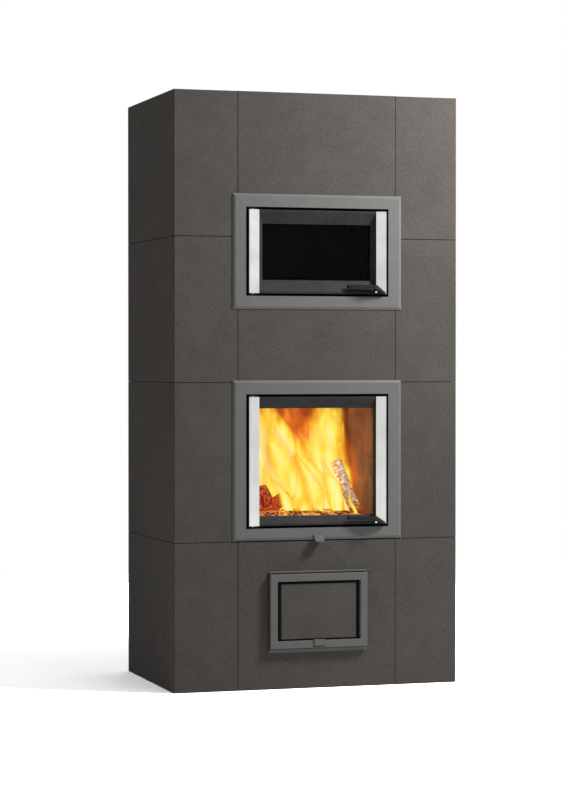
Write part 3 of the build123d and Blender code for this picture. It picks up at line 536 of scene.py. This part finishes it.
def flame_material(name, stops):
    """Glowing sheets of fire, brightest in the middle and clear where they thin out."""
    s = Shader(name)
    uv = s.add("ShaderNodeUVMap", uv_map=ACROSS_AND_UP)
    split = s.add("ShaderNodeSeparateXYZ", {"Vector": uv.outputs["UV"]})
    across, up = split.outputs["X"], split.outputs["Y"]
    off = s.math("ABSOLUTE", s.math("SUBTRACT", s.math("MULTIPLY", across, 2.0), 1.0))
    edge = s.math("SUBTRACT", 1.0, s.math("POWER", off, 1.5))
    top = s.math("SUBTRACT", 1.0, s.math("POWER", up, 4.0))
    streaks = s.noise(s.place(scale=(1.0, 0.6, 0.22), turn=(0.0, 0.28, 0.0)),
                      scale=26.0, detail=4.0, roughness=0.55, distortion=0.9)
    licks = s.noise(s.place(scale=(1.0, 1.0, 0.5), turn=(0.0, 0.4, 0.0)),
                    scale=9.0, detail=2.0, roughness=0.5, distortion=1.2)
    body = s.math("MULTIPLY", s.math("MULTIPLY", edge, top),
                  s.math("MULTIPLY", s.remap(streaks, 0.3, 0.68, 0.5, 1.15),
                         s.remap(licks, 0.34, 0.6, 0.45, 1.2)))
    colour = s.ramp(body, stops)
    glow = s.add("ShaderNodeEmission", {"Color": colour, "Strength": 1.15})
    clear = s.add("ShaderNodeBsdfTransparent")
    blend = s.add("ShaderNodeMixShader", {"Fac": s.remap(body, 0.0, 0.55, 0.0, 0.95)})
    s.put(blend.inputs[1], clear.outputs[0])
    s.put(blend.inputs[2], glow.outputs[0])
    s.put(s.output.inputs["Surface"], blend.outputs[0])
    return s.material


def flames(name, tongues, seed, material):
    """Curling sheets of fire, each given by its foot, its tip, its width and its belly."""
    chance = random.Random(seed)
    bm = bmesh.new()
    layer = bm.loops.layers.uv.new(ACROSS_AND_UP)
    for foot, tip, width, belly in tongues:
        foot, tip = Vector(foot), Vector(tip)
        sway = chance.uniform(0.006, 0.014)
        phase = chance.uniform(0.0, math.tau)
        twist = chance.uniform(-0.5, 0.5)
        grid = []
        for row in range(FLAME_ROWS + 1):
            v = row / FLAME_ROWS
            middle = foot.lerp(tip, v)
            middle.x += sway * math.sin(phase + 5.0 * v) * v
            middle.y += 0.6 * sway * math.cos(phase + 4.0 * v)
            half = 0.5 * width * (0.55 + belly * math.sin(math.pi * min(1.0, v * 1.15 + 0.08)))
            half *= 1.0 - 0.55 * v ** 3
            turn = twist * v
            left = min(half, FLAME_REACH_X + middle.x)
            right = min(half, FLAME_REACH_X - middle.x)
            line = []
            for column in range(FLAME_COLUMNS + 1):
                u = 2.0 * column / FLAME_COLUMNS - 1.0
                bow = 0.25 * half * (1.0 - u * u)
                out = u * (left if u < 0.0 else right)
                y = middle.y + out * math.sin(turn) - bow
                line.append(bm.verts.new((
                    middle.x + out * math.cos(turn), min(y, FLAME_BACK_Y), middle.z)))
            grid.append(line)
        quads(bm, grid, layer)
    mesh_piece(name, bm, material)


def bark_material(name, pale, dark, char_low, char_high):
    """Birch bark with dark flecks, charred and glowing below a ragged line at a height, with
    painted firelight glowing from the bark above it.
    """
    s = Shader(name)
    here = s.place()
    uv = s.add("ShaderNodeUVMap", uv_map=ACROSS_AND_UP)
    stretched = s.add("ShaderNodeMapping", {"Vector": uv.outputs["UV"]})
    stretched.inputs["Scale"].default_value = (2.2, 9.0, 1.0)
    flecks = s.noise(stretched.outputs["Vector"], scale=2.4, detail=4.0, roughness=0.7,
                     distortion=0.5)
    patches = s.noise(here, scale=30.0, detail=4.0, roughness=0.6)
    bark = s.mix(s.remap(patches, 0.35, 0.65), pale, scaled(pale, 0.7))
    bark = s.mix(s.remap(flecks, 0.5, 0.57), bark, dark)
    height = s.add("ShaderNodeSeparateXYZ", {"Vector": here}).outputs["Z"]
    wander = s.math("MULTIPLY", s.noise(here, scale=45.0, detail=3.0), -CHAR_RAGGED)
    char = s.remap(s.math("ADD", height, wander),
                   char_low - CHAR_RAGGED / 2, char_high - CHAR_RAGGED / 2, 1.0, 0.0)
    # Above the char the bark glows in its own colour warmed toward orange, which is painted
    # firelight; below it the char glows red-orange
    glow_patches = s.noise(here, scale=120.0, detail=3.0, roughness=0.6)
    return s.finish(
        Base_Color=s.mix(char, bark, srgb(26, 20, 17)),
        Roughness=0.85,
        Emission_Color=s.mix(char, s.mix(0.5, bark, srgb(255, 190, 110)), srgb(255, 84, 14)),
        Emission_Strength=s.remap(glow_patches, 0.45, 0.62, 0.12, 0.9),
        Normal=s.bump(s.math("ADD", flecks, patches), 0.6, 0.003),
    )


def billet(name, low, high, radius, material, seed, split=False):
    """A birch log: a knobbly tapered trunk, round or split to a wedge, with sawn ends."""
    chance = random.Random(seed)
    low, high = Vector(low), Vector(high)
    axis = (high - low).normalized()
    side = axis.cross(Vector((0.0, 1.0, 0.0))).normalized()
    front = axis.cross(side)
    offset = Vector((chance.uniform(0, 9), chance.uniform(0, 9), chance.uniform(0, 9)))
    bm = bmesh.new()
    layer = bm.loops.layers.uv.new(ACROSS_AND_UP)
    grid = []
    for ring in range(LOG_RINGS + 1):
        v = ring / LOG_RINGS
        middle = low.lerp(high, v) + side * 0.004 * math.sin(3.0 * v + seed)
        line = []
        for k in range(LOG_SIDES):
            angle = math.tau * k / LOG_SIDES
            around = Vector((2 * math.cos(angle), 2 * math.sin(angle), 4 * v))
            out = radius * (1.0 - 0.1 * v) * (1.0 + 0.09 * noise.noise(offset + around))
            facing = math.cos(angle - SPLIT_TURN)
            if split and facing > SPLIT_DEPTH:
                out *= SPLIT_DEPTH / facing
            line.append(bm.verts.new(
                middle + side * out * math.cos(angle) + front * out * math.sin(angle)))
        grid.append(line + line[:1])
    quads(bm, grid, layer)
    for line, way in ((grid[0][:-1], -1), (grid[-1][:-1], 1)):
        loops = [line]
        centre = sum((vert.co for vert in line), Vector()) / LOG_SIDES
        for shrink in (0.66, 0.33):
            loops.append([
                bm.verts.new(centre + (vert.co - centre) * shrink
                             + axis * way * 0.0012 * chance.uniform(0.2, 1.0))
                for vert in line])
        hub = bm.verts.new(centre + axis * way * 0.001)
        quads(bm, [loop + loop[:1] for loop in loops])
        for k in range(LOG_SIDES):
            bm.faces.new((loops[-1][k], loops[-1][(k + 1) % LOG_SIDES], hub))
    bmesh.ops.recalc_face_normals(bm, faces=bm.faces)
    mesh_piece(name, bm, material)


def ember_material():
    """Glowing coals: black crusts with orange light in the cracks between them."""
    s = Shader("embers")
    here = s.place()
    cells = s.add("ShaderNodeTexVoronoi", {"Vector": here, "Scale": 55.0},
                  feature="DISTANCE_TO_EDGE")
    crack = s.remap(cells.outputs["Distance"], 0.0, 0.16, 1.0, 0.0)
    heat = s.noise(here, scale=16.0, detail=3.0, roughness=0.6)
    glow = s.math("ADD", s.math("MULTIPLY", crack, 0.5), s.remap(heat, 0.38, 0.68, 0.0, 0.9))
    return s.finish(
        Base_Color=s.mix(heat, srgb(24, 18, 15), srgb(90, 80, 72)),
        Roughness=0.95,
        Emission_Color=s.ramp(glow, [(0.15, srgb(120, 20, 4)), (0.5, srgb(255, 96, 16)),
                                     (0.95, srgb(255, 200, 80))]),
        Emission_Strength=s.remap(glow, 0.2, 1.1, 0.0, 1.3),
        Normal=s.bump(cells.outputs["Distance"], 0.8, 0.004),
    )


def ember_bed():
    """A heap of broken coals over the hearth, higher at the back and left."""
    bm = bmesh.new()
    grid = []
    for row in range(EMBER_ROWS + 1):
        line = []
        for column in range(EMBER_COLUMNS + 1):
            u, v = column / EMBER_COLUMNS, row / EMBER_ROWS
            x = EMBER_REACH_X * (2 * u - 1)
            y = EMBER_FRONT_Y + (EMBER_BACK_Y - EMBER_FRONT_Y) * v
            rim = min(u, 1 - u, v * 0.8, (1 - v) * 0.8) * 9.0
            heap = 0.007 + 0.012 * v + 0.01 * (1 - u)
            lump = 0.5 + 0.5 * noise.noise(Vector((x * 38, y * 38, 1.3)))
            lump = 0.55 * lump + 0.45 * abs(noise.noise(Vector((x * 90, y * 90, 4.1))))
            height = EMBER_BORDER + min(1.0, rim) * heap * (0.5 + lump)
            line.append(bm.verts.new((x, y, HEARTH + height)))
        grid.append(line)
    quads(bm, grid)
    border = (grid[0] + [line[-1] for line in grid[1:]]
              + grid[-1][-2::-1] + [line[0] for line in grid[-2:0:-1]])
    foot = [bm.verts.new((vert.co.x, vert.co.y, HEARTH + EMBER_FOOT)) for vert in border]
    quads(bm, [foot + foot[:1], border + border[:1]])
    mesh_piece("embers", bm, ember_material())


bright_fire = flame_material("bright_flame", [
    (0.04, srgb(196, 70, 16)), (0.17, srgb(242, 134, 28)), (0.33, srgb(255, 196, 46)),
    (0.5, srgb(255, 226, 76)), (0.8, srgb(255, 244, 148))])
deep_fire = flame_material("deep_flame", [
    (0.05, srgb(150, 44, 14)), (0.3, srgb(206, 84, 26)), (0.6, srgb(240, 130, 40)),
    (0.9, srgb(250, 170, 60))])
birch = bark_material("birch_bark", srgb(226, 204, 184), srgb(84, 64, 56), 0.56, 0.585)
charred = bark_material("charred_bark", srgb(150, 92, 50), srgb(44, 20, 12), 0.62, 0.72)
ember_bed()
billet("log_front_right", (0.182, -0.165, 0.556), (0.124, -0.11, 0.716), 0.02, birch, 1)
billet("log_front_left", (-0.115, -0.16, 0.57), (0.02, -0.06, 0.644), 0.024, charred, 2, True)
billet("log_back", (0.14, -0.03, 0.572), (-0.06, -0.02, 0.7), 0.026, charred, 3, True)
billet("log_left", (-0.118, -0.15, 0.56), (-0.13, -0.11, 0.634), 0.024, charred, 4)
flames("flames_deep", [
    ((0.05, 0.035, 0.555), (0.02, 0.035, 0.99), 0.36, 0.6),
], FIRE_SEED, deep_fire)
flames("flames_back", [
    ((0.07, 0.01, 0.555), (-0.105, 0.02, 0.992), 0.16, 0.65),
    ((0.15, 0.005, 0.555), (0.122, 0.015, 0.99), 0.27, 0.7),
    ((-0.04, -0.01, 0.555), (-0.15, 0.0, 0.98), 0.15, 0.65),
    ((0.08, 0.0, 0.555), (0.05, 0.0, 0.82), 0.22, 0.6),
], FIRE_SEED, bright_fire)
flames("flames_middle", [
    ((0.04, -0.07, 0.55), (-0.13, -0.075, 0.98), 0.15, 0.7),
    ((0.13, -0.075, 0.55), (0.085, -0.07, 0.985), 0.16, 0.75),
    ((0.08, -0.085, 0.55), (-0.01, -0.085, 0.8), 0.13, 0.65),
    ((0.175, -0.08, 0.55), (0.155, -0.07, 0.86), 0.055, 0.6),
    ((-0.03, -0.09, 0.55), (-0.1, -0.09, 0.78), 0.13, 0.6),
], FIRE_SEED + 1, bright_fire)
flames("flames_front", [
    ((0.0, -0.16, 0.55), (-0.135, -0.15, 0.9), 0.1, 0.6),
    ((0.05, -0.15, 0.55), (-0.02, -0.145, 0.76), 0.08, 0.6),
    ((0.12, -0.155, 0.55), (0.07, -0.15, 0.74), 0.06, 0.6),
    ((-0.05, -0.17, 0.55), (-0.11, -0.165, 0.68), 0.055, 0.5),
    ((0.165, -0.19, 0.55), (0.14, -0.185, 0.63), 0.022, 0.5),
], FIRE_SEED + 2, bright_fire)

# The fire's own light on the lining, whose lamp no camera, mirror or pane shows
firelight = area_light("firelight", location=(0.0, -0.08, 0.62), target=(0.0, -0.02, 0.9),
                       size=(0.25, 0.1), power=2.6, colour=(1.0, 0.36, 0.09))
firelight.visible_camera = False
firelight.visible_transmission = False
firelight.visible_glossy = False
